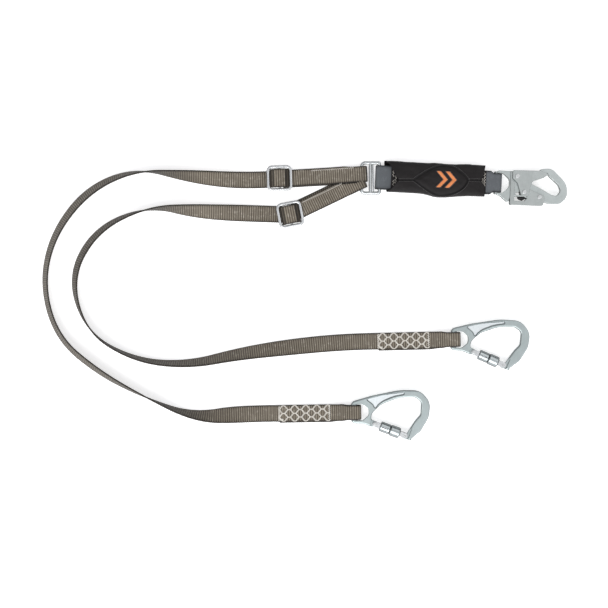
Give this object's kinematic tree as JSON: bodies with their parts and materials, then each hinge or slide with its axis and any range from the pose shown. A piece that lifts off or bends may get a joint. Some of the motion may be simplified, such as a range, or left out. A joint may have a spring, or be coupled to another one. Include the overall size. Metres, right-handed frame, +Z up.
{
  "type": "shock absorbing lanyard",
  "caption": "Twin-leg shock absorbing lanyard: adjustable webbing legs with locking carabiners, a covered tear-webbing absorber and a double-locking snap hook, laid out flat.",
  "frame": {"origin": "on the ground, at the middle of the hardware, absorber and sewn ends (the box of all nodes but the free legs)", "axes": "+X towards the snap hook, +Y from the carabiners towards the absorber, +Z up from the ground"},
  "size_m": [0.8099, 0.4344, 0.0262],
  "materials": {
    "leg_webbing": "woven polyester webbing",
    "absorber_webbing": "woven polyester webbing",
    "absorber_cover": "coated nylon cloth",
    "emblem": "embroidered thread",
    "forged_steel": "zinc plated forging",
    "pressed_steel": "zinc plated pressing",
    "spring_steel": "drawn wire",
    "turned_steel": "zinc plated, turned",
    "rivet_steel": "zinc plated",
    "plated_steel": "zinc plated"
  },
  "bodies": {
    "legs_and_ring": {"connector_ring": "plated_steel", "outer_leg_webbing": "leg_webbing", "inner_leg_webbing": "leg_webbing", "outer_adjust_loop": "leg_webbing", "inner_adjust_loop": "leg_webbing", "outer_sewn_eye": "leg_webbing", "inner_sewn_eye": "leg_webbing"},
    "absorber": {"absorber_cover": "absorber_cover", "ring_loop_webbing": "absorber_webbing", "hook_loop_webbing": "absorber_webbing", "tear_webbing_pack": "absorber_webbing", "backup_webbing": "absorber_webbing", "cover_emblem": "emblem"},
    "snap_hook": {"hook_body": "forged_steel", "hook_gate_rivet": "rivet_steel", "hook_lever_rivet": "rivet_steel", "hook_gate_spring": "spring_steel", "hook_lever_spring": "spring_steel"},
    "snap_hook_gate": {"hook_gate": "pressed_steel", "hook_heel_pin": "rivet_steel"},
    "snap_hook_lever": {"hook_lock_lever": "pressed_steel"},
    "outer_adjuster": {"outer_adjuster_frame": "plated_steel", "outer_adjuster_bar": "plated_steel", "outer_adjuster_wrap": "leg_webbing"},
    "outer_carabiner": {"outer_carabiner_body": "forged_steel", "outer_hinge_rivet": "rivet_steel"},
    "outer_carabiner_gate": {"outer_gate_core": "plated_steel", "outer_gate_housing": "turned_steel", "outer_latch_pin": "rivet_steel", "outer_gate_plunger": "plated_steel", "outer_gate_spring": "spring_steel"},
    "outer_lock_sleeve": {"outer_lock_sleeve": "turned_steel", "outer_sleeve_spring": "spring_steel"},
    "inner_adjuster": {"inner_adjuster_frame": "plated_steel", "inner_adjuster_bar": "plated_steel", "inner_adjuster_wrap": "leg_webbing"},
    "inner_carabiner": {"inner_carabiner_body": "forged_steel", "inner_hinge_rivet": "rivet_steel"},
    "inner_carabiner_gate": {"inner_gate_core": "plated_steel", "inner_gate_housing": "turned_steel", "inner_latch_pin": "rivet_steel", "inner_gate_plunger": "plated_steel", "inner_gate_spring": "spring_steel"},
    "inner_lock_sleeve": {"inner_lock_sleeve": "turned_steel", "inner_sleeve_spring": "spring_steel"}
  },
  "joints": [
    {"name": "absorber_swing", "type": "hinge", "parent": "legs_and_ring", "child": "absorber", "pos_m": [-0.0589, 0.192, 0.0087], "axis": [0, -1, 0], "range_deg": [-90, 90]},
    {"name": "hook_swing", "type": "hinge", "parent": "absorber", "child": "snap_hook", "pos_m": [0.1229, 0.18336, 0.0087], "axis": [-0.0384, -0.9993, 0], "range_deg": [-75, 75]},
    {"name": "hook_gate_opening", "type": "hinge", "parent": "snap_hook", "child": "snap_hook_gate", "pos_m": [0.15452, 0.19355, 0.0087], "axis": [0, 0, -1], "range_deg": [0, 24], "stiffness_Nm_per_rad": 0.4, "springref_deg": -14.32},
    {"name": "hook_lever_squeeze", "type": "hinge", "parent": "snap_hook", "child": "snap_hook_lever", "pos_m": [0.18929, 0.16109, 0.0087], "axis": [0, 0, -1], "range_deg": [0, 7], "stiffness_Nm_per_rad": 1, "springref_deg": -6.88, "deforming": ["hook_lever_spring"]},
    {"name": "outer_adjuster_slide", "type": "slide", "parent": "legs_and_ring", "child": "outer_adjuster", "axis": [0.9983, 0.0576, 0], "range_m": [0, 0.05]},
    {"name": "outer_carabiner_swing", "type": "hinge", "parent": "legs_and_ring", "child": "outer_carabiner", "pos_m": [-0.0978, -0.1731, 0.0087], "axis": [0.0175, -0.9998, 0], "range_deg": [-75, 75]},
    {"name": "outer_gate_opening", "type": "hinge", "parent": "outer_carabiner", "child": "outer_carabiner_gate", "pos_m": [-0.06568, -0.19114, 0.0087], "axis": [0, 0, 1], "range_deg": [0, 35], "stiffness_Nm_per_rad": 0.3, "springref_deg": -17.19},
    {"name": "outer_sleeve_twist", "type": "hinge", "parent": "outer_carabiner_gate", "child": "outer_lock_sleeve", "pos_m": [-0.06568, -0.19114, 0.0087], "axis": [0.9361, -0.3518, 0], "range_deg": [0, 90], "stiffness_Nm_per_rad": 0.03, "springref_deg": -17.19},
    {"name": "inner_adjuster_slide", "type": "slide", "parent": "legs_and_ring", "child": "inner_adjuster", "axis": [0.9026, 0.4305, 0], "range_m": [0, 0.038]},
    {"name": "inner_carabiner_swing", "type": "hinge", "parent": "legs_and_ring", "child": "inner_carabiner", "pos_m": [0.0565, -0.05951, 0.0087], "axis": [-0.0349, -0.9994, 0], "range_deg": [-75, 75]},
    {"name": "inner_gate_opening", "type": "hinge", "parent": "inner_carabiner", "child": "inner_carabiner_gate", "pos_m": [0.08764, -0.07921, 0.0087], "axis": [0, 0, 1], "range_deg": [0, 35], "stiffness_Nm_per_rad": 0.3, "springref_deg": -17.19},
    {"name": "inner_sleeve_twist", "type": "hinge", "parent": "inner_carabiner_gate", "child": "inner_lock_sleeve", "pos_m": [0.08764, -0.07921, 0.0087], "axis": [0.9164, -0.4003, 0], "range_deg": [0, 90], "stiffness_Nm_per_rad": 0.03, "springref_deg": -17.19}
  ]
}
